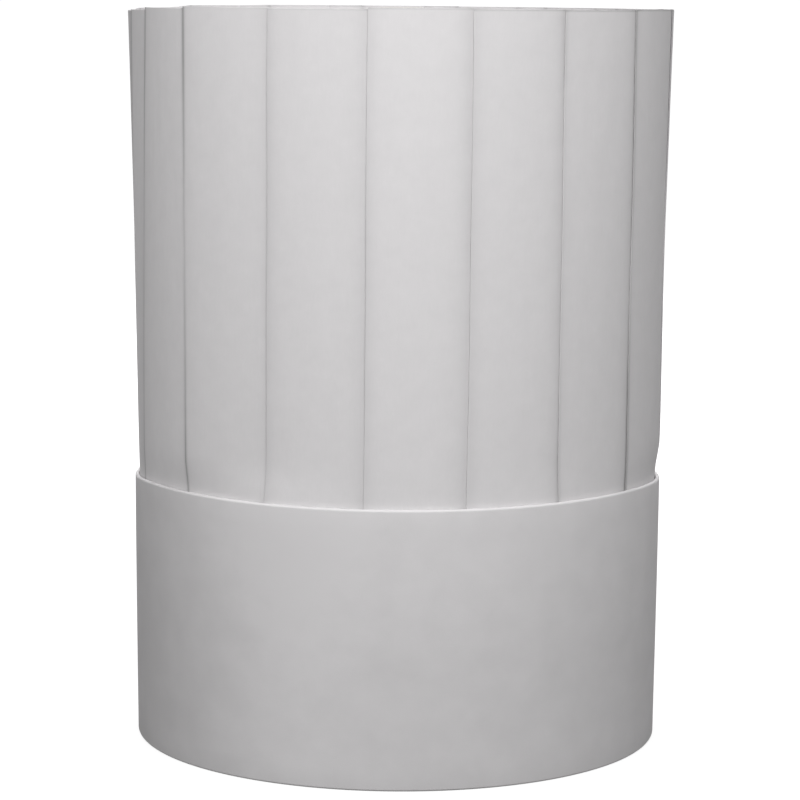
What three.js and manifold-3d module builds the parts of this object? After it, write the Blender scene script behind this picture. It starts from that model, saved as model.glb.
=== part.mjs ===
// Pleated, open-top paper chef toque with a wide smooth headband.
//
// Millimetres, +Z up. The origin is the centre of the head opening on the surface that the
// band rests on, and the front of the hat faces -Y. An azimuth is in degrees, is 0 at the
// front and grows towards +X, so 180 is the back.

import * as THREE from 'three';
import { mergeVertices } from 'three/addons/utils/BufferGeometryUtils.js';
import Module from 'manifold-3d';

const wasm = await Module();
wasm.setup();

// ---- Driving dimensions -------------------------------------------------------------

const HAT_HEIGHT = 254;
const BAND_HEIGHT = 93.5;
const BAND_FOOT_RADIUS = 91.4;
const BAND_TOP_RADIUS = 92.1;
const WALL_TOP_RADIUS = 93.9;

const GAP = 0.3;          // air between pieces that touch on the real hat
const SHEET = 0.35;       // pleated crown sheet
const PLY = 0.4;          // headband strip
const CARD = 0.5;         // stiffener inside the headband
const TAIL = 0.5;         // headband tail that closes the hat
const PAD = 0.7;          // hook and loop pads
const TAPE = 0.25;        // tape over the crown's glued seam
const PADDING = 1.2;      // sweatband

const PLEATS = 17;
// Azimuths of the folds from the left side round the front to the right, not quite even.
const FRONT_FOLDS = [-88.3, -68.9, -49.8, -27.5, -6.6, 14.5, 34.9, 56.8, 80.3];
const PLEAT_DEPTH = 12;   // width of sheet hidden under each fold

const TOP_ROLL = 0.8;     // outer radius of the band's rolled top edge
const FOOT_CHAMFER = 0.8;
const INNER_PLY_HEIGHT = 88;
const CARD_HEIGHT = 91.5;

const SLIT_AZIMUTH = 193; // where the headband's two ends meet
const SLIT_WIDTH = 9.4;
const TAIL_END_AZIMUTH = 162;
const TAIL_CORNER = 9;
const TAIL_FOOT = 0.5;
const RAMP_ANGLE = 5;     // the tail climbs over the other end within this angle

const PAD_FOOT = 16;
const PAD_HEIGHT = 62;
const LOOP_SPAN = [158, 186];
const HOOK_SPAN = [166, 180];

const SWEATBAND_SPAN = [-75, 75];
const SWEATBAND_FOOT = 3;
const SWEATBAND_HEIGHT = 30;

const SEAM_SPAN = [175, 185];

const RING_SIDES = 96;

// ---- The radial stack at the foot of the hat, from the outside in ----------------------

const CARD_RADIUS = BAND_FOOT_RADIUS - PLY - GAP;
const WALL_RADIUS = CARD_RADIUS - CARD - GAP;
const LAYER = SHEET + GAP;
const OUTER_LAYER = WALL_RADIUS - SHEET / 2;
const MIDDLE_LAYER = OUTER_LAYER - LAYER;
const INNER_LAYER = MIDDLE_LAYER - LAYER;
const INNER_PLY_RADIUS = INNER_LAYER - SHEET / 2 - GAP;
const HEAD_RADIUS = INNER_PLY_RADIUS - PLY;
const SWEATBAND_RADIUS = HEAD_RADIUS - GAP;

const LOOP_RADIUS = BAND_FOOT_RADIUS + GAP + PAD;
const HOOK_RADIUS = LOOP_RADIUS + GAP + PAD;
const TAIL_RADIUS = HOOK_RADIUS + GAP + TAIL;

const FOLD_FOOT = PLY + GAP;

// ---- Helpers --------------------------------------------------------------------------

const radians = THREE.MathUtils.degToRad;
const degrees = THREE.MathUtils.radToDeg;

function polar(azimuth, radius) {
  const angle = radians(azimuth);
  return new THREE.Vector2(radius * Math.sin(angle), -radius * Math.cos(angle));
}

// How much wider the hat's section is at this height than at its foot.
function spread(z) {
  const bandTop = BAND_TOP_RADIUS / BAND_FOOT_RADIUS;
  const wallTop = WALL_TOP_RADIUS / WALL_RADIUS;
  if (z <= BAND_HEIGHT) return 1 + (bandTop - 1) * (z / BAND_HEIGHT);
  return bandTop + (wallTop - bandTop) * ((z - BAND_HEIGHT) / (HAT_HEIGHT - BAND_HEIGHT));
}

function flared(geometry) {
  const place = geometry.getAttribute('position');
  for (let i = 0; i < place.count; i++) {
    const scale = spread(place.getZ(i));
    place.setXY(i, place.getX(i) * scale, place.getY(i) * scale);
  }
  return geometry;
}

function merged(geometry) {
  const bare = geometry.clone();
  bare.deleteAttribute('normal');
  bare.deleteAttribute('uv');
  return mergeVertices(bare, 1e-4);
}

function solid(geometry) {
  const bare = merged(geometry);
  return new wasm.Manifold(new wasm.Mesh({
    numProp: 3,
    vertProperties: new Float32Array(bare.getAttribute('position').array),
    triVerts: new Uint32Array(bare.getIndex().array),
  }));
}

function geometryOf(manifold) {
  const mesh = manifold.getMesh();
  const geometry = new THREE.BufferGeometry();
  geometry.setAttribute('position', new THREE.BufferAttribute(mesh.vertProperties, 3));
  geometry.setIndex(new THREE.BufferAttribute(mesh.triVerts, 1));
  geometry.computeVertexNormals();
  return geometry;
}

// A closed profile of [radius, height] points turned once about the hat's axis.
function ring(profile) {
  const points = profile.map(([radius, z]) => new THREE.Vector2(radius, z));
  const geometry = new THREE.LatheGeometry([...points, points[0].clone()], RING_SIDES);
  return geometry.rotateX(Math.PI / 2);
}

// A plan outline between an outer and an inner line of points, raised to a height.
function raised(outer, inner, foot, height) {
  const shape = new THREE.Shape([...outer, ...inner.reverse()]);
  const geometry = new THREE.ExtrudeGeometry(shape, { depth: height, bevelEnabled: false });
  return geometry.translate(0, 0, foot);
}

// A strip that lies round part of the hat.
function curvedStrip([from, to], outerRadius, thickness, foot, height) {
  const steps = Math.ceil((to - from) / 4);
  const line = (radius) => Array.from({ length: steps + 1 }, (_, i) =>
    polar(from + ((to - from) * i) / steps, radius));
  return raised(line(outerRadius), line(outerRadius - thickness), foot, height);
}

// ---- Pleated crown: one sheet, folded flat over itself seventeen times ---------------------

// The azimuth of each outer fold: the ones as set, then the rest evenly to the first again.
function foldAzimuths() {
  const last = FRONT_FOLDS[FRONT_FOLDS.length - 1];
  const rest = PLEATS - FRONT_FOLDS.length;
  const step = (FRONT_FOLDS[0] + 360 - last) / (rest + 1);
  return [...FRONT_FOLDS, ...Array.from({ length: rest }, (_, i) => last + step * (i + 1))];
}

// One face of the sheet as a closed outline. `side` is half the sheet's thickness on the
// face that shows and minus half of it on the face towards the head.
function sheetFace(side) {
  const arc = degrees(1 / OUTER_LAYER);
  const depth = PLEAT_DEPTH * arc;
  const bend = LAYER / 2;
  const folds = foldAzimuths();
  const points = [];
  const add = (azimuth, radius) => points.push(polar(azimuth, radius));
  for (let pleat = 0; pleat < PLEATS; pleat++) {
    const fold = folds[pleat];
    const next = pleat + 1 < PLEATS ? folds[pleat + 1] : folds[0] + 360;
    // The outer fold, from the layer beneath it round to the panel that shows.
    const nose = bend + side;
    const middle = (OUTER_LAYER + MIDDLE_LAYER) / 2;
    const noseAzimuth = fold + (bend + SHEET / 2) * arc;
    add(noseAzimuth, middle - nose);
    add(noseAzimuth - nose * arc, middle);
    add(noseAzimuth, middle + nose);
    // The panel lies over its own pleat, then sinks until the next fold covers it.
    const level = fold + depth + 2 * arc;
    const sunk = next - arc;
    const steps = 4;
    add((noseAzimuth + level) / 2, OUTER_LAYER + side);
    for (let i = 0; i <= steps; i++) {
      const radius = THREE.MathUtils.lerp(OUTER_LAYER, INNER_LAYER, i / steps);
      add(THREE.MathUtils.lerp(level, sunk, i / steps), radius + side);
    }
    add(next + depth / 2, INNER_LAYER + side);
    // The inner fold, hidden under the next panel, and the way back from it.
    const crease = bend - side;
    const hidden = (INNER_LAYER + MIDDLE_LAYER) / 2;
    add(next + depth, hidden - crease);
    add(next + depth + crease * arc, hidden);
    add(next + depth, hidden + crease);
    add(next + depth / 2, MIDDLE_LAYER - side);
  }
  return points;
}

function pleatedWall() {
  const shape = new THREE.Shape(sheetFace(SHEET / 2));
  shape.holes.push(new THREE.Path(sheetFace(-SHEET / 2)));
  const geometry = new THREE.ExtrudeGeometry(shape, { depth: 2, steps: 2, bevelEnabled: false });
  // The three levels are the foot, the band's top edge, where the flare begins, and the rim.
  const levels = [FOLD_FOOT, BAND_HEIGHT, HAT_HEIGHT];
  const place = geometry.getAttribute('position');
  for (let i = 0; i < place.count; i++) place.setZ(i, levels[Math.round(place.getZ(i))]);
  return flared(geometry);
}

function seamTape() {
  const foot = BAND_HEIGHT + GAP;
  const radius = INNER_LAYER - SHEET / 2 - GAP;
  return flared(curvedStrip(SEAM_SPAN, radius, TAPE, foot, HAT_HEIGHT - 1 - foot));
}

// ---- Headband: a strip folded up round the crown's lower edge, with its card and padding ----

function slitTool(width) {
  const reach = 20;
  const box = new THREE.BoxGeometry(width, reach, 3 * BAND_HEIGHT);
  box.translate(0, -BAND_FOOT_RADIUS, 0);
  return box.rotateZ(radians(SLIT_AZIMUTH));
}

function slitRing(profile, slitWidth) {
  return flared(geometryOf(solid(ring(profile)).subtract(solid(slitTool(slitWidth)))));
}

// Points on a quarter circle of the rolled top edge, from its outer side or back to it.
function rollArc(radius, back) {
  const steps = 4;
  const centre = [BAND_FOOT_RADIUS - TOP_ROLL, BAND_HEIGHT - TOP_ROLL];
  const points = Array.from({ length: steps + 1 }, (_, i) => {
    const angle = (i / steps) * (Math.PI / 2);
    return [centre[0] + radius * Math.cos(angle), centre[1] + radius * Math.sin(angle)];
  });
  return back ? points.reverse() : points;
}

function headband() {
  const lip = CARD_RADIUS - CARD;
  return slitRing([
    [BAND_FOOT_RADIUS, FOOT_CHAMFER],
    ...rollArc(TOP_ROLL, false),
    [lip, BAND_HEIGHT],
    [lip, BAND_HEIGHT - PLY],
    ...rollArc(TOP_ROLL - PLY, true),
    [BAND_FOOT_RADIUS - PLY, PLY],
    [INNER_PLY_RADIUS, PLY],
    [INNER_PLY_RADIUS, INNER_PLY_HEIGHT],
    [HEAD_RADIUS, INNER_PLY_HEIGHT],
    [HEAD_RADIUS, FOOT_CHAMFER],
    [HEAD_RADIUS + FOOT_CHAMFER, 0],
    [BAND_FOOT_RADIUS - FOOT_CHAMFER, 0],
  ], SLIT_WIDTH);
}

function bandStiffener() {
  return slitRing([
    [CARD_RADIUS, FOLD_FOOT],
    [CARD_RADIUS, FOLD_FOOT + CARD_HEIGHT],
    [CARD_RADIUS - CARD, FOLD_FOOT + CARD_HEIGHT],
    [CARD_RADIUS - CARD, FOLD_FOOT],
  ], SLIT_WIDTH);
}

function sweatband() {
  return flared(curvedStrip(SWEATBAND_SPAN, SWEATBAND_RADIUS, PADDING,
    SWEATBAND_FOOT, SWEATBAND_HEIGHT));
}

// ---- Back closure: the band's tail, and the pads that hold it -----------------------------

// The hinge line is the outer corner of the band's end, in the middle of the gap to the tail.
const ROOT_AZIMUTH = SLIT_AZIMUTH + degrees(Math.asin((SLIT_WIDTH / 2 - GAP) / BAND_FOOT_RADIUS));

function tailFace(inset) {
  const climb = TAIL_RADIUS - BAND_FOOT_RADIUS;
  const length = ROOT_AZIMUTH - TAIL_END_AZIMUTH;
  const rampSteps = 6;
  const lapSteps = 8;
  const points = [];
  for (let i = 0; i <= rampSteps; i++) {
    const share = i / rampSteps;
    const lift = climb * THREE.MathUtils.smoothstep(share, 0, 1);
    points.push(polar(ROOT_AZIMUTH - share * RAMP_ANGLE, BAND_FOOT_RADIUS + lift - inset));
  }
  for (let i = 1; i <= lapSteps; i++) {
    const azimuth = ROOT_AZIMUTH - RAMP_ANGLE - ((length - RAMP_ANGLE) * i) / lapSteps;
    points.push(polar(azimuth, TAIL_RADIUS - inset));
  }
  return points;
}

// A block with the tail's free corners rounded, seen along the radius at the tail's end.
function tailCornerTool() {
  const height = BAND_HEIGHT - TAIL_FOOT;
  const length = 2 * BAND_FOOT_RADIUS;
  const shape = new THREE.Shape();
  shape.moveTo(length, 0);
  shape.lineTo(length, height);
  shape.lineTo(TAIL_CORNER, height);
  shape.absarc(TAIL_CORNER, height - TAIL_CORNER, TAIL_CORNER, Math.PI / 2, Math.PI, false);
  shape.absarc(TAIL_CORNER, TAIL_CORNER, TAIL_CORNER, Math.PI, 1.5 * Math.PI, false);
  const reach = 60;
  const block = new THREE.ExtrudeGeometry(shape, { depth: reach, bevelEnabled: false, curveSegments: 6 });
  // Along the tail is +X and out from the hat is -Y before the block turns to its azimuth.
  block.rotateX(Math.PI / 2);
  block.translate(0, -BAND_FOOT_RADIUS + reach / 2, TAIL_FOOT);
  return block.rotateZ(radians(TAIL_END_AZIMUTH));
}

function closureFlap() {
  const strip = raised(tailFace(0), tailFace(TAIL), TAIL_FOOT, BAND_HEIGHT - TAIL_FOOT);
  return flared(geometryOf(solid(strip).intersect(solid(tailCornerTool()))));
}

function pad(span, radius) {
  return flared(curvedStrip(span, radius, PAD, PAD_FOOT, PAD_HEIGHT));
}

// ---- Finishes and assembly ------------------------------------------------------------------

const finish = (color, roughness) =>
  new THREE.MeshStandardMaterial({ color, roughness, metalness: 0, side: THREE.DoubleSide });

const crownPaper = finish(0xe3e1e0, 0.9);
const bandPaper = finish(0xe6e4e3, 0.85);
const greyCard = finish(0xc9c5bd, 0.9);
const padding = finish(0xf0eeea, 0.95);
const hookNylon = finish(0xdcdcdc, 0.7);
const loopNylon = finish(0xe8e8e6, 0.95);
const tapePaper = finish(0xdedbd6, 0.8);

const toque = new THREE.Group();

function piece(name, geometry, material) {
  const mesh = new THREE.Mesh(geometry, material);
  mesh.name = name;
  toque.add(mesh);
}

piece('pleated_wall', pleatedWall(), crownPaper);
piece('crown_seam_tape', seamTape(), tapePaper);
piece('headband', headband(), bandPaper);
piece('band_stiffener', bandStiffener(), greyCard);
piece('sweatband', sweatband(), padding);
piece('closure_flap', closureFlap(), bandPaper);
piece('hook_pad', pad(HOOK_SPAN, HOOK_RADIUS), hookNylon);
piece('loop_pad', pad(LOOP_SPAN, LOOP_RADIUS), loopNylon);

export default toque;
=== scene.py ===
import math
import random

import bmesh
import bpy
from mathutils import Matrix, Vector, noise


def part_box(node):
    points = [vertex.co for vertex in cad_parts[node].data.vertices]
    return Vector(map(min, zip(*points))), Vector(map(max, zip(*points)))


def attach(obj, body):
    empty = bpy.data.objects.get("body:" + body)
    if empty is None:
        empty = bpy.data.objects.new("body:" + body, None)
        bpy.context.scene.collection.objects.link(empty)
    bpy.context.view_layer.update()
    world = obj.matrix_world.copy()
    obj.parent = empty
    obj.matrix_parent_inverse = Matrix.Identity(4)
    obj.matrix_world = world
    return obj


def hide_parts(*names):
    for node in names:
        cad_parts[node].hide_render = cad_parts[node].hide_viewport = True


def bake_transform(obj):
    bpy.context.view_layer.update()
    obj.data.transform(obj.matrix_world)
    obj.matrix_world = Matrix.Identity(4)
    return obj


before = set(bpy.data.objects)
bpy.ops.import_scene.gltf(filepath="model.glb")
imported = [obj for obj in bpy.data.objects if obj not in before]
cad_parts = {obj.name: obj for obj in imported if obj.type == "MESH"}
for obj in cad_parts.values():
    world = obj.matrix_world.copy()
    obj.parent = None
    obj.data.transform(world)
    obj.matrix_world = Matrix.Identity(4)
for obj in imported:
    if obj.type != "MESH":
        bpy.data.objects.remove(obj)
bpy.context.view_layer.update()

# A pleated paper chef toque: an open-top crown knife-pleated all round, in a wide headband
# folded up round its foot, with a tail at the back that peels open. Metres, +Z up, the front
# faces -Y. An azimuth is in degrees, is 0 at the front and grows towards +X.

MM = 0.001

# ---- Sizes that the frame gives ----------------------------------------------------------

WALL_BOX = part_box("pleated_wall")
BAND_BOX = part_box("headband")
HAT_HEIGHT = WALL_BOX[1][2]
BAND_HEIGHT = BAND_BOX[1][2]
BAND_TOP_RADIUS = (BAND_BOX[1][0] - BAND_BOX[0][0]) / 2
WALL_TOP_RADIUS = 93.9 * MM

# ---- Sizes of the sheets -----------------------------------------------------------------

BAND_FOOT_RADIUS = 91.4 * MM
WALL_FOOT_RADIUS = 89.9 * MM
WALL_FOOT = 0.8 * MM
SHEET = 0.14 * MM
LAYER = 0.17 * MM       # from one layer of a pressed pleat to the next
PLEAT_DEPTH = 12 * MM
PLEATS = 17

PLY = 0.36 * MM
TOP_ROLL = 0.8 * MM
INNER_PLY_RADIUS = 87.75 * MM
INNER_PLY_HEIGHT = 88 * MM
CARD_RADIUS = 90.45 * MM
CARD_TOP = 92 * MM
SLIT_AZIMUTH = 193
SLIT_WIDTH = 9.4 * MM

TAIL_RADIUS = 94.2 * MM
TAIL_THICKNESS = 0.5 * MM
TAIL_END_AZIMUTH = 162
TAIL_CORNER = 9 * MM
RAMP_ANGLE = 5


def polar(azimuth, radius, z=0.0):
    """The point at this azimuth and distance from the hat's axis."""
    angle = math.radians(azimuth)
    return Vector((radius * math.sin(angle), -radius * math.cos(angle), z))


def spread(z):
    """How much wider the hat's section is at this height than at its foot."""
    band_top = BAND_TOP_RADIUS / BAND_FOOT_RADIUS
    wall_top = WALL_TOP_RADIUS / WALL_FOOT_RADIUS
    if z <= BAND_HEIGHT:
        return 1 + (band_top - 1) * z / BAND_HEIGHT
    return band_top + (wall_top - band_top) * (z - BAND_HEIGHT) / (HAT_HEIGHT - BAND_HEIGHT)


def smooth(share):
    share = min(max(share, 0.0), 1.0)
    return share * share * (3 - 2 * share)


def bell(distance):
    return math.exp(-distance * distance)


def blend_values(low, high, share):
    return low + (high - low) * share


# ---- Camera, lights and floor --------------------------------------------------------------

CAMERA_DISTANCE = 1.0445
CAMERA_HEIGHT = 0.262
CAMERA_TILT = 7.92
CAMERA_ROLL = 0.44
LENS_MM = 134.9
AXIS_OFFSET = 0.0007
KEY_WATTS = 7.9
BACK_WATTS = 20
LIT_POINT = (0, 0, 0.12)
ROOM_FILL = 0.205


def add_camera():
    data = bpy.data.cameras.new("camera")
    data.lens = LENS_MM
    data.sensor_width = 36
    camera = bpy.data.objects.new("camera", data)
    bpy.context.scene.collection.objects.link(camera)
    camera.location = (AXIS_OFFSET, -CAMERA_DISTANCE, CAMERA_HEIGHT)
    upright = Matrix.Rotation(math.radians(90 - CAMERA_TILT), 4, "X")
    roll = Matrix.Rotation(math.radians(CAMERA_ROLL), 4, "Z")
    camera.rotation_euler = (upright @ roll).to_euler()
    bpy.context.scene.camera = camera


def add_softbox(name, place, target, size, watts):
    data = bpy.data.lights.new(name, "AREA")
    data.shape = "RECTANGLE"
    data.size, data.size_y = size
    data.energy = watts
    light = bpy.data.objects.new(name, data)
    bpy.context.scene.collection.objects.link(light)
    light.location = place
    light.rotation_euler = (Vector(target) - Vector(place)).to_track_quat("-Z", "Y").to_euler()
    light.visible_camera = False


def add_studio():
    """A wide softbox close above the front, one behind, and a white room that gives some fill."""
    add_softbox("key_softbox", (0, -0.6, 0.7), LIT_POINT, (1.5, 0.5), KEY_WATTS)
    add_softbox("back_softbox", (0, 1.2, 0.9), LIT_POINT, (1.4, 0.9), BACK_WATTS)
    world = bpy.data.worlds.new("studio")
    world.use_nodes = True
    bpy.context.scene.world = world
    tree = world.node_tree
    path = tree.nodes.new("ShaderNodeLightPath")
    strength = tree.nodes.new("ShaderNodeMapRange")
    strength.inputs["To Min"].default_value = ROOM_FILL
    tree.links.new(path.outputs["Is Camera Ray"], strength.inputs["Value"])
    tree.nodes["Background"].inputs["Color"].default_value = (1, 1, 1, 1)
    tree.links.new(strength.outputs["Result"], tree.nodes["Background"].inputs["Strength"])
    bpy.context.scene.view_settings.view_transform = "Standard"


# ---- Shader maths ---------------------------------------------------------------------------


class Socket:
    """A number that a shader node gives. Python's operators on it add Math nodes."""

    def __init__(self, finish, socket):
        self.finish, self.socket = finish, socket

    def maths(self, operation, first, second):
        inputs = {0: first, 1: second}
        return self.finish.node("ShaderNodeMath", {"operation": operation}, inputs)[0]

    def __add__(self, other):
        return self.maths("ADD", self, other)

    def __sub__(self, other):
        return self.maths("SUBTRACT", self, other)

    def __rsub__(self, other):
        return self.maths("SUBTRACT", other, self)

    def __mul__(self, other):
        return self.maths("MULTIPLY", self, other)

    __radd__, __rmul__ = __add__, __mul__


class Finish:
    """A procedural material, named for what it is."""

    def __init__(self, name, roughness, **constants):
        self.material = bpy.data.materials.new(name)
        self.material.use_nodes = True
        self.tree = self.material.node_tree
        self.shader = self.tree.nodes["Principled BSDF"]
        self.shader.inputs["Roughness"].default_value = roughness
        for socket, value in constants.items():
            self.shader.inputs[socket.replace("_", " ")].default_value = value

    def node(self, kind, settings=(), inputs=()):
        """One node: its settings first, then the values or links of its sockets."""
        made = self.tree.nodes.new(kind)
        for key, value in dict(settings).items():
            if key == "stops":
                while len(made.color_ramp.elements) < len(value):
                    made.color_ramp.elements.new(1)
                for element, (position, grey) in zip(made.color_ramp.elements, value):
                    element.position, element.color = position, (grey, grey, grey, 1)
            else:
                setattr(made, key, value)
        for key, value in dict(inputs).items():
            if isinstance(value, Socket):
                self.tree.links.new(value.socket, made.inputs[key])
            else:
                made.inputs[key].default_value = value
        return [Socket(self, out) for out in made.outputs]

    def place(self, uv, stretch=(1, 1, 1)):
        """Where a point is on the sheet, in metres along its own map, or in the hat."""
        if uv:
            vector = self.node("ShaderNodeUVMap", {"uv_map": uv})[0]
        else:
            vector = self.node("ShaderNodeTexCoord")[3]
        return self.node("ShaderNodeMapping", {}, {"Vector": vector, "Scale": stretch})[0]

    def attribute(self, name):
        return self.node("ShaderNodeAttribute", {"attribute_name": name})[2]

    def mottle(self, where, size, detail=3, roughness=0.55):
        """Cloudy noise from 0 to 1 with features of about this size in metres."""
        return self.node("ShaderNodeTexNoise", {},
                         {"Vector": where, "Scale": 1 / size, "Detail": detail,
                          "Roughness": roughness})[0]

    def remap(self, value, low, high, to_low, to_high):
        return self.node("ShaderNodeMapRange", {},
                         {"Value": value, "From Min": low, "From Max": high,
                          "To Min": to_low, "To Max": to_high})[0]

    def colour(self, share, dark, light, socket="Base Color"):
        """A colour between two, by a share from 0 to 1."""
        made = self.node("ShaderNodeMix", {"data_type": "RGBA"},
                         {0: share, 6: (*dark, 1), 7: (*light, 1)})
        self.tree.links.new(made[2].socket, self.shader.inputs[socket])

    def rough(self, value):
        self.tree.links.new(value.socket, self.shader.inputs["Roughness"])

    def relief(self, height, depth):
        """Bumps of this depth in metres where height runs from 0 to 1."""
        bump = self.node("ShaderNodeBump", {},
                         {"Height": height, "Strength": 1.0, "Distance": depth})[0]
        self.tree.links.new(bump.socket, self.shader.inputs["Normal"])


PAPER_WHITE = (0.80, 0.784, 0.792)


def shade(colour, factor):
    return tuple(channel * factor for channel in colour)


def crown_paper():
    """Thin long-fibred paper: cloudy, faintly grained up the hat, with painted shade along its
    creases and its rim.
    """
    made = Finish("crown_paper", 0.86)
    sheet = made.place("sheet")
    along = made.place("sheet", (1, 0.22, 1))
    fibres = made.mottle(along, 0.9 * MM, 4, 0.65)
    cloud = made.mottle(sheet, 7 * MM, 4, 0.62)
    wave = made.mottle(along, 9 * MM, 2)
    grain = made.remap(fibres * 0.35 + cloud * 0.65, 0.3, 0.7, 0.905, 1)
    # Painted shade: the attribute read here darkens the paper beside the folds and along the rim's
    # edge; below zero it is a painted highlight on a fold.
    made.colour(grain - made.attribute("crease") * 2, shade(PAPER_WHITE, 0.51),
                shade(PAPER_WHITE, 1.035))
    made.rough(made.remap(cloud, 0.3, 0.7, 0.82, 0.92))
    made.relief(fibres * 0.12 + wave * 0.88, 0.22 * MM)
    return made.material


def band_paper():
    """Heavier, calendered paper, smooth with a fine tooth, polished at the folds, with a painted
    highlight there and painted light and shade across the strip.
    """
    made = Finish("band_paper", 0.8)
    sheet = made.place("sheet")
    tooth = made.mottle(sheet, 0.5 * MM, 3, 0.6)
    cloud = made.mottle(sheet, 12 * MM, 3)
    wave = made.mottle(sheet, 30 * MM, 2)
    crease = made.attribute("crease")
    tone = made.remap(tooth * 0.25 + cloud * 0.75, 0.3, 0.7, 0.38, 0.78)
    # Painted light: a painted highlight along the folds, with painted light towards the top edge
    # and painted shade round the left side.
    made.colour(tone + crease * 0.12 + made.attribute("pale"), shade(PAPER_WHITE, 0.84),
                shade(PAPER_WHITE, 1.0))
    made.rough(made.remap(cloud, 0.3, 0.7, 0.78, 0.86) - crease * 0.15)
    made.relief(tooth * 0.06 + wave * 0.94, 0.35 * MM)
    return made.material


def grey_card():
    made = Finish("grey_card", 0.9)
    where = made.place("sheet")
    flecks = made.mottle(where, 1.2 * MM, 4, 0.7)
    made.colour(made.remap(flecks, 0.3, 0.7, 0, 1), (0.50, 0.47, 0.42), (0.62, 0.59, 0.54))
    made.relief(flecks, 0.05 * MM)
    return made.material


def padding():
    """Absorbent wadding: felted fibres, embossed by its own mesh, with painted shade along the
    embossed lines.
    """
    made = Finish("padding", 0.95)
    where = made.place("sheet")
    fuzz = made.mottle(where, 0.45 * MM, 5, 0.7)
    cloud = made.mottle(where, 5 * MM, 2)
    press = made.attribute("press")
    # Painted shade: darker along the embossed lines.
    tone = made.remap(fuzz * 0.5 + cloud * 0.5, 0.3, 0.7, 0.35, 1) - press * 0.35
    made.colour(tone, (0.68, 0.665, 0.64), (0.84, 0.83, 0.80))
    made.relief(fuzz, 0.12 * MM)
    return made.material


def hook_nylon():
    made = Finish("hook_nylon", 0.45)
    where = made.place(None)
    cloud = made.mottle(where, 3 * MM, 2)
    made.colour(made.remap(cloud, 0.3, 0.7, 0, 1), (0.70, 0.70, 0.69), (0.78, 0.78, 0.77))
    made.rough(made.remap(cloud, 0.3, 0.7, 0.4, 0.52))
    return made.material


def loop_nylon():
    made = Finish("loop_nylon", 0.9)
    where = made.place(None)
    cloud = made.mottle(where, 1.5 * MM, 3)
    made.colour(made.remap(cloud, 0.3, 0.7, 0, 1), (0.74, 0.74, 0.73), (0.84, 0.84, 0.83))
    return made.material


def seam_paper():
    made = Finish("seam_paper", 0.75)
    where = made.place("sheet")
    fibres = made.mottle(made.place("sheet", (1, 0.3, 1)), 0.8 * MM, 4, 0.65)
    glue = made.mottle(where, 6 * MM, 3)
    made.colour(made.remap(fibres * 0.4 + glue * 0.6, 0.3, 0.7, 0, 1),
                (0.72, 0.70, 0.665), (0.80, 0.785, 0.755))
    made.rough(made.remap(glue, 0.35, 0.65, 0.6, 0.82))
    made.relief(fibres, 0.04 * MM)
    return made.material


def floor_paint():
    """Matte white, and lit from within, so that it is white to the horizon; it glows less near the
    hat, a painted shade round it.
    """
    made = Finish("floor_paint", 1.0, Emission_Strength=1.0, Specular_IOR_Level=0.0)
    made.shader.inputs["Base Color"].default_value = (0.25, 0.25, 0.25, 1)
    where = made.place(None)
    distance = made.node("ShaderNodeVectorMath", {"operation": "LENGTH"}, {0: where})[1]
    glow = made.remap(distance, 0.12, 0.6, 0, 1)
    made.colour(glow, (0.82, 0.82, 0.82), (0.98, 0.98, 0.98), "Emission Color")
    return made.material


# ---- Making a piece --------------------------------------------------------------------------

CRISP_ANGLE = math.radians(75)


def finish_mesh(name, mesh, material, body, cad_node, thickness=None, offset=0.0,
                crisp_edges=False):
    """The bmesh as a piece: its material, its thickness, the body that it rides on."""
    data = bpy.data.meshes.new(name)
    mesh.to_mesh(data)
    mesh.free()
    data.materials.append(material)
    for polygon in data.polygons:
        polygon.use_smooth = True
    if crisp_edges:
        data.set_sharp_from_angle(angle=CRISP_ANGLE)
    piece = bpy.data.objects.new(name, data)
    bpy.context.scene.collection.objects.link(piece)
    if thickness:
        wall = piece.modifiers.new("thickness", "SOLIDIFY")
        wall.thickness = thickness
        wall.offset = offset
        wall.use_even_offset = True
    if cad_node:
        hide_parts(cad_node)
    if body:
        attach(piece, body)
    return piece


def set_uv(mesh, along, up):
    """The sheet's own map, in metres, from two number layers on its vertices."""
    uv = mesh.loops.layers.uv.new("sheet")
    for face in mesh.faces:
        for loop in face.loops:
            loop[uv].uv = (loop.vert[along], loop.vert[up])


# ---- Pleated crown ----------------------------------------------------------------------------

# Azimuths of the folds at the band's top edge and at the rim, from the left side to the right.
FRONT_FOLDS = ((-90.5, -76.5), (-73.4, -64.4), (-50.4, -48.3), (-28.6, -27.2), (-6.85, -6.3),
               (14.5, 14.3), (35.9, 34.5), (58.1, 55.5), (84, 79))
# By pleat, how far its edge stands over the rim's height, in mm.
RIM_LIFTS = (-1.5, -0.6, -0.05, -0.2, 0.28, -0.05, -0.25, -0.15, -0.4, -0.6, -0.6, -0.6, -0.5,
             -0.45, -0.6, -1.3, -1.9)
LEFT_DIP = 0.05 * MM      # how far a panel falls away beside its own fold
LEFT_RUN = 2.0 * MM
RIGHT_DIP = 0.08 * MM     # and where the next fold covers it
RIGHT_RUN = 2.4 * MM
LOOSENESS = 0.08 * MM     # how far a fold may stand off the panel beneath it
WAVER = 0.3 * MM          # how far the paper strays from a true line, round the hat and outwards
LINE_SHADE_PEAK = 100 * MM     # the height where the painted shade lines along the folds are darkest
LINE_SHADE_PERIOD = 155 * MM
RIM_SHADE_REACH = 0.35 * MM      # how far the painted shade along the rim's edge reaches down


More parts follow.
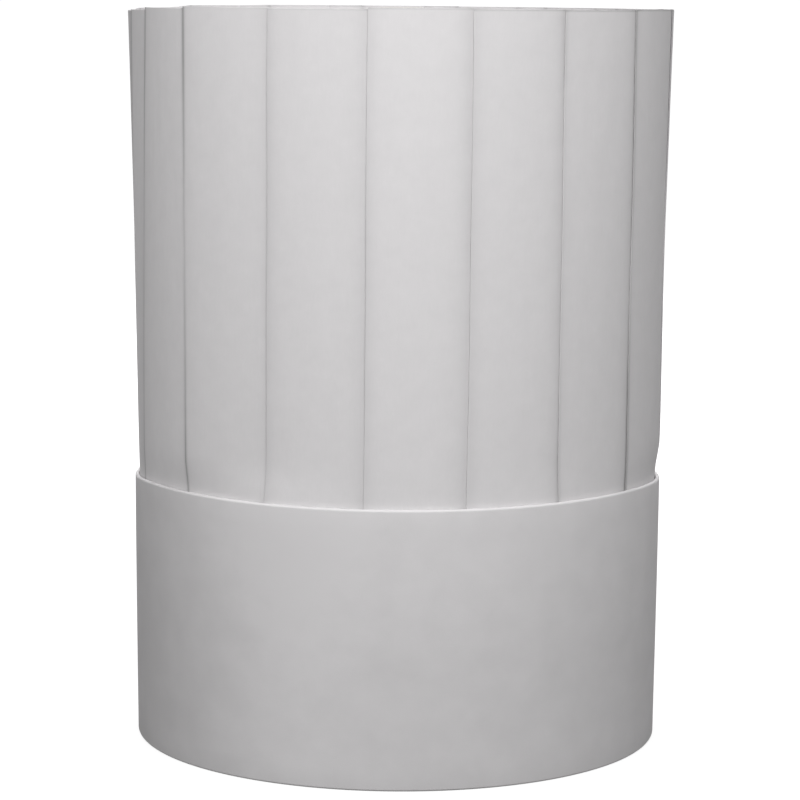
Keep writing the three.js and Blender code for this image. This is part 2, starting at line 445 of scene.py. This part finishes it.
def fold_azimuths(z):
    """Each outer fold at this height: the ones as set, then even ones, upright at the back."""
    above = max(0.0, (z - BAND_HEIGHT) / (HAT_HEIGHT - BAND_HEIGHT))
    folds = [blend_values(low, high, above) for low, high in FRONT_FOLDS]
    (first, first_top), (last, last_top) = FRONT_FOLDS[0], FRONT_FOLDS[-1]
    rest = PLEATS - len(FRONT_FOLDS)
    for share in ((step + 1) / (rest + 1) for step in range(rest)):
        lean = (1 - share) ** 3 * (last_top - last) + share ** 3 * (first_top - first)
        folds.append(blend_values(last, first + 360, share) + lean * above)
    return folds


def wall_levels():
    """Heights up the crown, close together above the band and at the rim."""
    near = [BAND_HEIGHT + gap * MM for gap in (-2, 0.5, 3, 6, 10, 15)]
    rim = [HAT_HEIGHT - gap * MM for gap in (3, 0.8, 0.25, 0)]
    even = [blend_values(near[-1], rim[0], step / 18) for step in range(1, 18)]
    return [WALL_FOOT, BAND_HEIGHT / 3, BAND_HEIGHT * 2 / 3, *near, *even, *rim]


# By fold, from the left: how strong the painted shade beside it is, and how dark the painted shade
# line along it is; below zero that line is a painted highlight.
FOLD_SHADES = ((2.5, 0.35), (1.3, 0.32), (0.75, 0.31), (1.1, -0.02), (1.1, -0.03), (1.1, -0.03),
           (0.8, 0.09), (0.9, 0.25), (0.3, 0.16))
OTHER_FOLD_SHADES = (0.9, 0.08)
OWN_REACH = 2.0 * MM
NEXT_REACH = 2.6 * MM
CREASE_LINE = 0.75 * MM
INSIDE_LINE = 0.8 * MM
# By fold, how far out of round the crown stands there, in mm: above the band, and at the rim.
OUT_OF_ROUND = ((-0.1, -0.1), (0.4, 0.4), (1.1, 1.1), (-1.1, -1.1), (0, 0), (0, 0), (-0.5, -0.5),
                (0.3, 0.1), (1.3, 0.1), (0.9, 0))


def of_fold(values, pleat, other):
    return values[pleat % PLEATS] if pleat % PLEATS < len(values) else other


def crease_shade(pleat, width, around, line_shade):
    """How much painted shade darkens the paper beside its own fold, the next one and the one
    inside.
    """
    own, line = of_fold(FOLD_SHADES, pleat, OTHER_FOLD_SHADES)
    next_own, next_line = of_fold(FOLD_SHADES, pleat + 1, OTHER_FOLD_SHADES)
    before, inside = abs(width - around), abs(width + PLEAT_DEPTH - around)
    reach = NEXT_REACH * max(next_own, 1)
    dark = 0.12 * own * math.exp(-around / OWN_REACH) + line * line_shade * bell(around / CREASE_LINE)
    dark += 0.13 * next_own * math.exp(-before / reach) + 0.1 * bell(inside / INSIDE_LINE)
    return dark + next_line * line_shade * bell(before / CREASE_LINE)


def pleat_section(width):
    """One pleat from its outer fold on: the panel, the part under the next fold, and the return.

    Each point is (distance round the hat from the fold, depth below the crown's outside, share
    of its fold's looseness, the fold that it moves with: 0 its own or 1 the next).
    """
    bend = LAYER / 2
    away = [0.3 * MM * 1.5 ** step for step in range(9)]
    beside = lambda along: LEFT_DIP * math.exp(-along / LEFT_RUN)
    loose = lambda along: math.exp(-along / (3 * MM))
    sunk = 2 * LAYER + RIGHT_DIP
    points = []
    for step in range(6):
        angle = math.pi * step / 5
        depth = beside(0) + bend * (1 + math.cos(angle))
        points.append((bend - bend * math.sin(angle), depth, 1, 0))
    middle = [blend_values(away[-1], width - away[-1], share) for share in (0.25, 0.5, 0.75)]
    for along in [*away, *middle, *(width - gap for gap in reversed(away)), width]:
        under = sunk * math.exp((along - width) / RIGHT_RUN)
        points.append((along, beside(along) + under, loose(along), 0))
    for along in (0.4 * MM, 1.5 * MM, 4 * MM, 8 * MM, PLEAT_DEPTH):
        points.append((width + along, sunk - LEFT_DIP + beside(along), 0, 1))
    for step in range(1, 5):
        angle = math.pi * step / 5
        depth = blend_values(sunk - LEFT_DIP, LAYER, (1 - math.cos(angle)) / 2)
        points.append((width + PLEAT_DEPTH + bend * math.sin(angle), depth, 0, 1))
    for along in (PLEAT_DEPTH, 8 * MM, 4 * MM, 2 * MM, 0.8 * MM):
        points.append((width + along, LAYER + beside(along), loose(along), 1))
    return points


def out_of_round(pleat, across, z):
    """How far the crown stands out at this share of a pleat's width. The band holds it round."""
    ends = [of_fold(OUT_OF_ROUND, fold, (0, 0)) for fold in (pleat, pleat + 1)]
    low, high = (blend_values(here, there, across) * MM for here, there in zip(*ends))
    above = z - BAND_HEIGHT
    return smooth(above / (12 * MM)) * blend_values(low, high, smooth(above / (90 * MM)))


def wall_row(z):
    """The folded section at this height: each vertex's place and how much painted shade its
    creases and the rim's edge give it.
    """
    folds = fold_azimuths(z)
    share = z / HAT_HEIGHT
    # How dark the painted shade lines along the folds are at this height: darkest above the band
    # and at the rim.
    pressed = 0.8 + 0.4 * math.cos(math.tau * (z - LINE_SHADE_PEAK) / LINE_SHADE_PERIOD)
    # Painted shade along the rim's edge, stronger on the right, away from the light.
    rim_shade = bell((HAT_HEIGHT - z) / RIM_SHADE_REACH)
    row = []
    for pleat, (start, end) in enumerate(zip(folds, [*folds[1:], folds[0] + 360])):
        width = math.radians(end - start) * WALL_FOOT_RADIUS
        waver = WAVER * noise.noise(Vector((pleat * 3.7, z * 22, 1.3)))
        line_shade = pressed + 0.6 * noise.noise(Vector((pleat * 9.3, z * 40, 3.1)))
        lifts = [of_fold(RIM_LIFTS, fold, 0) * MM for fold in (pleat, pleat + 1)]
        for around, depth, loose, owner in pleat_section(width):
            azimuth = start + math.degrees((around + waver) / WALL_FOOT_RADIUS)
            angle = math.radians(azimuth)
            fold = (pleat + owner) % PLEATS
            lift = LOOSENESS * loose * (0.5 + noise.noise(Vector((fold * 5.1, z * 30, 7.7))))
            across = around / width
            uneven = WAVER * share * noise.noise(
                Vector((math.sin(angle) * 1.5, math.cos(angle) * 1.5, z * 9)))
            if across <= 1:
                uneven += out_of_round(pleat, across, z)
            else:
                uneven += out_of_round(pleat + 1, (around - width) / width, z)
            radius = (WALL_FOOT_RADIUS - SHEET / 2 - depth + lift) * spread(z) + uneven
            rim = blend_values(*lifts, smooth((around - width) / PLEAT_DEPTH)) * share ** 8
            row.append((polar(azimuth, radius, z + rim),
                        crease_shade(pleat, width, around, line_shade)
                        + rim_shade * (0.22 + 0.2 * math.sin(angle))))
    return row


def pleated_crown(material):
    """One sheet: its folded section drawn once, then extruded up the hat level by level."""
    mesh = bmesh.new()
    along = mesh.verts.layers.float.new("along")
    up = mesh.verts.layers.float.new("up")
    crease = mesh.verts.layers.float.new("crease")
    levels = wall_levels()
    section = wall_row(levels[0])
    row = [mesh.verts.new(place) for place, _ in section]
    distance = 0.0
    for vertex, before in zip(row, [row[0], *row]):
        distance += (vertex.co - before.co).length
        vertex[along] = distance
    ring = [mesh.edges.new(pair) for pair in zip(row, row[1:] + row[:1])]
    for z in levels[1:]:
        made = bmesh.ops.extrude_edge_only(mesh, edges=ring)["geom"]
        ring = [item for item in made if isinstance(item, bmesh.types.BMEdge)]
        row = [item for item in made if isinstance(item, bmesh.types.BMVert)]
        row.sort(key=lambda vertex: vertex[along])
        for vertex, (place, shade_here) in zip(row, wall_row(z)):
            vertex.co, vertex[up], vertex[crease] = place, z, shade_here
    bmesh.ops.recalc_face_normals(mesh, faces=mesh.faces)
    set_uv(mesh, along, up)
    piece = finish_mesh("pleated_crown", mesh, material, "hat", "pleated_wall",
                        SHEET)
    return piece


# ---- Headband ---------------------------------------------------------------------------------

BAND_STEPS = 177
FOOT_BEND = 0.6 * MM
LIP_TURN = 135            # degrees that the rolled top edge turns in through
BAND_EVENNESS = 0.22 * MM
SIDE_DIP = 2.3 * MM       # how far the top edge dips at the sides
SIDE_AZIMUTH = 93
CARD_FOOT = 0.8 * MM
CARD_THICKNESS = 0.4 * MM


def arc(centre, radius, start, end, steps):
    """Points (radius, height) on an arc of the band's section, by angle in degrees."""
    angles = [math.radians(blend_values(start, end, step / steps)) for step in range(steps + 1)]
    return [(centre[0] + radius * math.cos(a), centre[1] + radius * math.sin(a)) for a in angles]


def straight(start, end, steps):
    """Points between two (radius, height) ends, without the ends."""
    return [tuple(blend_values(a, b, step / steps) for a, b in zip(start, end))
            for step in range(1, steps)]


def band_section():
    """The folded strip's middle line: from its lip over the card, down, under and up inside."""
    roll_centre = (BAND_FOOT_RADIUS - TOP_ROLL, BAND_HEIGHT - TOP_ROLL)
    roll = arc(roll_centre, TOP_ROLL - PLY / 2, LIP_TURN, 0, 11)
    outer = BAND_FOOT_RADIUS - PLY / 2
    foot = FOOT_BEND + PLY / 2
    outer_bend = arc((outer - FOOT_BEND, foot), FOOT_BEND, 0, -90, 6)
    inner_bend = arc((INNER_PLY_RADIUS + FOOT_BEND, foot), FOOT_BEND, -90, -180, 6)
    top = (INNER_PLY_RADIUS, INNER_PLY_HEIGHT)
    return [*roll, *straight(roll[-1], outer_bend[0], 14), *outer_bend, *inner_bend,
            *straight(inner_bend[-1], top, 12), top]


def band_swell(azimuth, z):
    """Paper pulled round a head is never quite round: a few tenths of a millimetre."""
    angle = math.radians(azimuth)
    where = Vector((math.sin(angle) * 2.0, math.cos(angle) * 2.0, z * 8))
    return BAND_EVENNESS * noise.noise(where)


def band_light_and_shade(azimuth, share):
    """Painted light and shade on the strip: lighter towards its top edge, darker round the left
    side and lighter just left of the front.
    """
    return (0.31 * smooth(share * 2.2 - 0.9) - 0.6 * bell((azimuth + 70) / 26)
            + 0.36 * bell((azimuth + 23) / 14))


def turned_strip(section):
    """A section turned round the hat's axis from one side of the back slit to the other."""
    mesh = bmesh.new()
    along = mesh.verts.layers.float.new("along")
    up = mesh.verts.layers.float.new("up")
    crease = mesh.verts.layers.float.new("crease")
    pale = mesh.verts.layers.float.new("pale")
    half_slit = math.degrees(SLIT_WIDTH / 2 / BAND_FOOT_RADIUS)
    first = SLIT_AZIMUTH + half_slit - 360
    sweep = 360 - 2 * half_slit
    vertices = [mesh.verts.new(polar(first, radius, z)) for radius, z in section]
    run = 0.0
    for vertex, before in zip(vertices, [vertices[0], *vertices]):
        run += (vertex.co - before.co).length
        near_fold = min(vertex.co.z, abs(BAND_HEIGHT - vertex.co.z))
        vertex[up], vertex[crease] = run, smooth(1 - near_fold / (1.6 * MM))
    strip = [mesh.edges.new(pair) for pair in zip(vertices, vertices[1:])]
    bmesh.ops.spin(mesh, geom=[*vertices, *strip], cent=(0, 0, 0), axis=(0, 0, 1),
                   angle=math.radians(sweep), steps=BAND_STEPS)
    for vertex in mesh.verts:
        azimuth = math.degrees(math.atan2(vertex.co.x, -vertex.co.y))
        turned = (azimuth - first) % 360
        vertex[along] = math.radians(turned if turned < sweep + 1 else 0.0) * BAND_FOOT_RADIUS
        share = min(max(vertex.co.z / BAND_HEIGHT, 0), 1)
        ends = smooth(min(turned, max(sweep - turned, 0)) / 8)
        swell = band_swell(azimuth, vertex.co.z) * ends * math.sin(math.pi * share) ** 0.5
        factor = spread(vertex.co.z) * (1 + swell / BAND_FOOT_RADIUS)
        vertex.co.x, vertex.co.y = vertex.co.x * factor, vertex.co.y * factor
        vertex.co.z -= SIDE_DIP * bell((abs(azimuth) - SIDE_AZIMUTH) / 22) * share ** 2
        vertex[pale] = band_light_and_shade(azimuth, share)
    bmesh.ops.recalc_face_normals(mesh, faces=mesh.faces)
    set_uv(mesh, along, up)
    return mesh, (math.radians(sweep) * BAND_FOOT_RADIUS, run)


def folded_headband(material):
    mesh, flat = turned_strip(band_section())
    piece = finish_mesh("folded_headband", mesh, material, "hat", "headband", PLY)
    return piece


def card_strip(material):
    """The stiffener inside the headband. Its edges show at the back slit."""
    foot, top = (CARD_RADIUS, CARD_FOOT), (CARD_RADIUS, CARD_TOP)
    mesh, _ = turned_strip([foot, *straight(foot, top, 16), top])
    return finish_mesh("card_strip", mesh, material, "hat", "band_stiffener",
                       CARD_THICKNESS)


# ---- Tail and its pads -------------------------------------------------------------------------

TAIL_STEPS = 56
ROOT_OFFSET = 4.7 * MM
TAIL_BEND = 7 * MM        # the length of the root where a peeled tail bends; the tail here is not bent
TAIL_CURL = 0.5 * MM      # how far the free end lifts
PRESSED_ROLL = 0.12       # how much of the rolled edges is left where the tail is pressed flat


def root_azimuth():
    """Where the tail leaves the band's end."""
    return SLIT_AZIMUTH + math.degrees(math.asin(ROOT_OFFSET / BAND_FOOT_RADIUS))


def tail_levels():
    """Heights up the tail, close together in its rolled edges and its rounded corners."""
    roll = [TOP_ROLL * step / 5 for step in range(6)]
    corner = [blend_values(TOP_ROLL, TAIL_CORNER, (step / 8) ** 1.4) for step in range(1, 9)]
    middle = [blend_values(TAIL_CORNER, BAND_HEIGHT - TAIL_CORNER, step / 18)
              for step in range(1, 18)]
    edge = [*roll, *corner]
    return [*edge, *middle, *(BAND_HEIGHT - gap for gap in reversed(edge))]


def closure_tail(material):
    """The strip past the band's end, pressed flat as it climbs over the other end."""
    root, end = root_azimuth(), TAIL_END_AZIMUTH
    length = math.radians(root - end) * TAIL_RADIUS
    climb = TAIL_RADIUS - BAND_FOOT_RADIUS
    mesh = bmesh.new()
    along = mesh.verts.layers.float.new("along")
    up = mesh.verts.layers.float.new("up")
    crease = mesh.verts.layers.float.new("crease")
    levels = tail_levels()
    column = [mesh.verts.new((0, 0, z)) for z in levels]
    edges = [mesh.edges.new(pair) for pair in zip(column, column[1:])]
    for vertex, z in zip(column, levels):
        near_edge = min(z, BAND_HEIGHT - z)
        vertex[up], vertex[crease] = z, smooth(1 - near_edge / (1.6 * MM))
    for step in range(1, TAIL_STEPS + 1):
        made = bmesh.ops.extrude_edge_only(mesh, edges=edges)["geom"]
        edges = [item for item in made if isinstance(item, bmesh.types.BMEdge)]
        for vertex in (item for item in made if isinstance(item, bmesh.types.BMVert)):
            vertex[along] = step / TAIL_STEPS
    for vertex in mesh.verts:
        z = vertex[up]
        from_edge = min(z, BAND_HEIGHT - z)
        into_corner = max(0.0, 1 - from_edge / TAIL_CORNER)
        cut = TAIL_CORNER * (1 - math.sqrt(1 - into_corner ** 2))
        distance = vertex[along] * (length - cut)
        azimuth = root - math.degrees(distance / TAIL_RADIUS)
        pressed = smooth((root - azimuth) / RAMP_ANGLE)
        into_roll = max(0.0, 1 - from_edge / TOP_ROLL)
        roll = TOP_ROLL * (1 - math.sqrt(1 - into_roll ** 2))
        roll *= blend_values(1, PRESSED_ROLL, pressed)
        curl = TAIL_CURL * smooth((distance / length - 0.8) / 0.2)
        radius = BAND_FOOT_RADIUS + climb * pressed - roll + curl
        vertex.co = polar(azimuth, radius * spread(z), z)
        vertex[along] = distance
    bmesh.ops.recalc_face_normals(mesh, faces=mesh.faces)
    set_uv(mesh, along, up)
    outward = polar(root - 15, 1)
    if sum(face.normal.dot(outward) for face in mesh.faces) < 0:
        bmesh.ops.reverse_faces(mesh, faces=mesh.faces)
    piece = finish_mesh("closure_tail", mesh, material, None, "closure_flap",
                        TAIL_THICKNESS, -1)
    start = polar(root, BAND_FOOT_RADIUS, BAND_HEIGHT / 2)
    start + tail_direction(root) * TAIL_BEND
    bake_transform(piece)
    return piece


def tail_direction(azimuth):
    """Along the hat's surface, from the tail's root towards its free end."""
    return (polar(azimuth - 90, 1)).normalized()


# ---- Hook and loop pads, seam tape and sweatband ---------------------------------------------

PAD_FOOT = 16 * MM
PAD_HEIGHT = 62 * MM
PAD_BACKING = 0.2 * MM
PAD_MARGIN = 1.2 * MM
THREAD_PITCH = 1.15 * MM

# Where each lies round the hat: its radius, its middle's azimuth and its reach in degrees.
HOOK_PAD_RADIUS = 93.2 * MM
HOOK_PAD_AZIMUTH = 173
HOOK_PAD_REACH = 14
LOOP_PAD_RADIUS = 91.9 * MM
LOOP_PAD_AZIMUTH = 172
LOOP_PAD_REACH = 28
TAPE_RADIUS = 87.78 * MM
TAPE_AZIMUTH = 180
TAPE_REACH = 10
TAPE_FOOT = 94 * MM
TAPE_HEIGHT = 159 * MM
TAPE_THICKNESS = 0.2 * MM


def wrap(mesh, middle_azimuth, radius, foot, outward):
    """A flat piece, made along x and up y with its face to +z, laid round the hat."""
    for vertex in mesh.verts:
        x, y, height = vertex.co
        z = foot + y
        azimuth = middle_azimuth + math.degrees(x / radius)
        vertex.co = polar(azimuth, (radius + outward * height) * spread(z), z)
    if outward < 0:
        bmesh.ops.reverse_faces(mesh, faces=mesh.faces)


def thread(mesh, path, radius, sides):
    """One nylon thread along a path, closed at both ends."""
    verts = bmesh.ops.create_circle(mesh, segments=sides, radius=radius)["verts"]
    edges = list({edge for vertex in verts for edge in vertex.link_edges})
    bmesh.ops.translate(mesh, verts=verts, vec=path[0])
    bmesh.ops.contextual_create(mesh, geom=edges)
    heading = Vector((0, 0, 1))
    for here, there in zip(path, path[1:]):
        made = bmesh.ops.extrude_edge_only(mesh, edges=edges)["geom"]
        edges = [item for item in made if isinstance(item, bmesh.types.BMEdge)]
        verts = [item for item in made if isinstance(item, bmesh.types.BMVert)]
        step = there - here
        turn = heading.rotation_difference(step).to_matrix()
        bmesh.ops.translate(mesh, verts=verts, vec=step)
        bmesh.ops.rotate(mesh, cent=there, matrix=turn, verts=verts)
        heading = step
    bmesh.ops.contextual_create(mesh, geom=edges)


def turn_outward(mesh):
    """One closed shape's faces all turned outwards."""
    bmesh.ops.recalc_face_normals(mesh, faces=mesh.faces)
    if mesh.calc_volume(signed=True) < 0:
        bmesh.ops.reverse_faces(mesh, faces=mesh.faces)


def copied(mesh, template, turn, shift):
    """A copy of part of a mesh, turned about its own upright and then moved."""
    made = bmesh.ops.duplicate(mesh, geom=template)["geom"]
    verts = [item for item in made if isinstance(item, bmesh.types.BMVert)]
    bmesh.ops.rotate(mesh, cent=(0, 0, 0), matrix=Matrix.Rotation(turn, 3, "Z"), verts=verts)
    bmesh.ops.translate(mesh, verts=verts, vec=shift)
    return made


def threaded_pad(length, path, radius, sides, turn, jitter, seed):
    """A woven backing with a field of threads on it: one column of them, copied along the pad."""
    chance = random.Random(seed)
    mesh = bmesh.new()
    thread(mesh, path, radius, sides)
    turn_outward(mesh)
    first = [*mesh.verts, *mesh.edges, *mesh.faces]
    count = int((PAD_HEIGHT - 2 * PAD_MARGIN) / THREAD_PITCH)
    column = []
    for step in range(count + 1):
        up = blend_values(PAD_MARGIN, PAD_HEIGHT - PAD_MARGIN, step / count)
        shift = (chance.uniform(-jitter, jitter), up + chance.uniform(-jitter, jitter), 0)
        column += copied(mesh, first, chance.uniform(-turn, turn), shift)
    bmesh.ops.delete(mesh, geom=first[:], context="VERTS")
    column = [*mesh.verts, *mesh.edges, *mesh.faces]
    count = int((length - 2 * PAD_MARGIN) / THREAD_PITCH)
    for step in range(count + 1):
        across = blend_values(PAD_MARGIN, length - PAD_MARGIN, step / count) - length / 2
        stagger = chance.uniform(-0.5, 0.5) * PAD_MARGIN * (1 if step % 2 else -1)
        shift = (across, stagger, 0)
        copied(mesh, column, 0, shift)
    bmesh.ops.delete(mesh, geom=column, context="VERTS")
    backing = bmesh.ops.create_grid(mesh, x_segments=24, y_segments=6, size=0.5)["verts"]
    bmesh.ops.scale(mesh, vec=(length, PAD_HEIGHT, 1), verts=backing)
    bmesh.ops.translate(mesh, vec=(0, PAD_HEIGHT / 2, -PAD_BACKING), verts=backing)
    faces = list({face for vertex in backing for face in vertex.link_faces})
    made = bmesh.ops.extrude_face_region(mesh, geom=faces)["geom"]
    upper = [item for item in made if isinstance(item, bmesh.types.BMVert)]
    bmesh.ops.translate(mesh, vec=(0, 0, PAD_BACKING), verts=upper)
    return mesh


def hook_pad(material):
    """Moulded hooks under the tail, pointing in."""
    path = [Vector((x * MM, 0, z * MM)) for x, z in
            ((0, -0.05), (0, 0.16), (0.02, 0.3), (0.1, 0.4), (0.21, 0.4), (0.28, 0.31))]
    length = math.radians(HOOK_PAD_REACH) * HOOK_PAD_RADIUS
    mesh = threaded_pad(length, path, 0.08 * MM, 5, 0.15, 0.02 * MM, 5)
    wrap(mesh, HOOK_PAD_AZIMUTH, HOOK_PAD_RADIUS, PAD_FOOT, -1)
    return finish_mesh("hooks", mesh, material, "tail", "hook_pad", crisp_edges=True)


def loop_pad(material):
    """Brushed loops on the outside of the band, where the hooks take hold."""
    path = [Vector((x * MM, 0, z * MM)) for x, z in
            ((-0.26, -0.05), (-0.34, 0.14), (-0.22, 0.34), (0, 0.42), (0.22, 0.34), (0.34, 0.14),
             (0.26, -0.05))]
    length = math.radians(LOOP_PAD_REACH) * LOOP_PAD_RADIUS
    mesh = threaded_pad(length, path, 0.06 * MM, 3, math.pi, 0.3 * MM, 11)
    wrap(mesh, LOOP_PAD_AZIMUTH, LOOP_PAD_RADIUS, PAD_FOOT, 1)
    return finish_mesh("loops", mesh, material, "hat", "loop_pad", crisp_edges=True)


def seam_tape(material):
    """The strip glued over the crown's seam, inside at the back."""
    length = math.radians(TAPE_REACH) * TAPE_RADIUS
    mesh = bmesh.new()
    grid = bmesh.ops.create_grid(mesh, x_segments=14, y_segments=60, size=0.5)["verts"]
    bmesh.ops.scale(mesh, vec=(length, TAPE_HEIGHT, 1), verts=grid)
    bmesh.ops.translate(mesh, vec=(0, TAPE_HEIGHT / 2, 0), verts=grid)
    along = mesh.verts.layers.float.new("along")
    up = mesh.verts.layers.float.new("up")
    for vertex in mesh.verts:
        vertex[along], vertex[up] = vertex.co.x, vertex.co.y
        edge = length / 2 - abs(vertex.co.x)
        wrinkle = noise.noise(Vector((vertex.co.x * 200, vertex.co.y * 70, 4.4)))
        vertex.co.z = -0.12 * MM * (1 + wrinkle) * smooth(edge / (2 * MM))
    wrap(mesh, TAPE_AZIMUTH, TAPE_RADIUS, TAPE_FOOT, 1)
    set_uv(mesh, along, up)
    piece = finish_mesh("seam_tape", mesh, material, "hat", "crown_seam_tape",
                        TAPE_THICKNESS)
    return piece


SWEATBAND_REACH = 75      # degrees to each side of the front
SWEATBAND_FOOT = 3 * MM
SWEATBAND_HEIGHT = 30 * MM
SWEATBAND_RADIUS = 87.22 * MM
SWEATBAND_ROUND = 2.5 * MM
WADDING = 0.78 * MM       # how far the cells stand over the thin edges
WADDING_EDGE = 0.3 * MM
QUILT = 7.5 * MM
QUILT_LINE = 0.7 * MM


def sweatband(material):
    """Wadding across the forehead: crowned, thinner at its edges, embossed in diamonds."""
    length = math.radians(2 * SWEATBAND_REACH) * SWEATBAND_RADIUS
    mesh = bmesh.new()
    along = mesh.verts.layers.float.new("along")
    up = mesh.verts.layers.float.new("up")
    press = mesh.verts.layers.float.new("press")
    back = bmesh.ops.create_grid(mesh, x_segments=240, y_segments=34, size=0.5)["verts"]
    bmesh.ops.scale(mesh, vec=(length, SWEATBAND_HEIGHT, 1), verts=back)
    bmesh.ops.translate(mesh, vec=(0, SWEATBAND_HEIGHT / 2, 0), verts=back)
    made = bmesh.ops.extrude_face_region(mesh, geom=mesh.faces[:])["geom"]
    for vertex in mesh.verts:
        vertex[along], vertex[up] = vertex.co.x, vertex.co.y
    for vertex in (item for item in made if isinstance(item, bmesh.types.BMVert)):
        x, y = vertex[along], vertex[up]
        edge = min(length / 2 - abs(x), y, SWEATBAND_HEIGHT - y)
        lines = [abs((x + turn * y) / QUILT % 1 - 0.5) * QUILT for turn in (1, -1)]
        vertex[press] = max(bell(gap / QUILT_LINE) for gap in lines)
        rounded = math.sqrt(1 - (1 - min(max(edge / SWEATBAND_ROUND, 0), 1)) ** 2)
        puff = 0.12 * MM * noise.noise(Vector((x * 150, y * 150, 2.2)))
        vertex.co.z = WADDING_EDGE + rounded * (WADDING + puff) * (1 - 0.6 * vertex[press])
    turn_outward(mesh)
    wrap(mesh, 0, SWEATBAND_RADIUS, SWEATBAND_FOOT, -1)
    set_uv(mesh, along, up)
    piece = finish_mesh("quilted_sweatband", mesh, material, "hat", "sweatband")
    return piece


def add_floor():
    mesh = bmesh.new()
    bmesh.ops.create_grid(mesh, x_segments=2, y_segments=2, size=60)
    data = bpy.data.meshes.new("floor")
    mesh.to_mesh(data)
    mesh.free()
    data.materials.append(floor_paint())
    floor = bpy.data.objects.new("floor", data)
    bpy.context.scene.collection.objects.link(floor)
    floor.visible_diffuse = False
    floor.visible_glossy = False


# ---- The hat -----------------------------------------------------------------------------------

add_camera()
add_studio()
pleated_crown(crown_paper())
band = band_paper()
folded_headband(band)
closure_tail(band)
hook_pad(hook_nylon())
loop_pad(loop_nylon())
seam_tape(seam_paper())
sweatband(padding())
card_strip(grey_card())
add_floor()
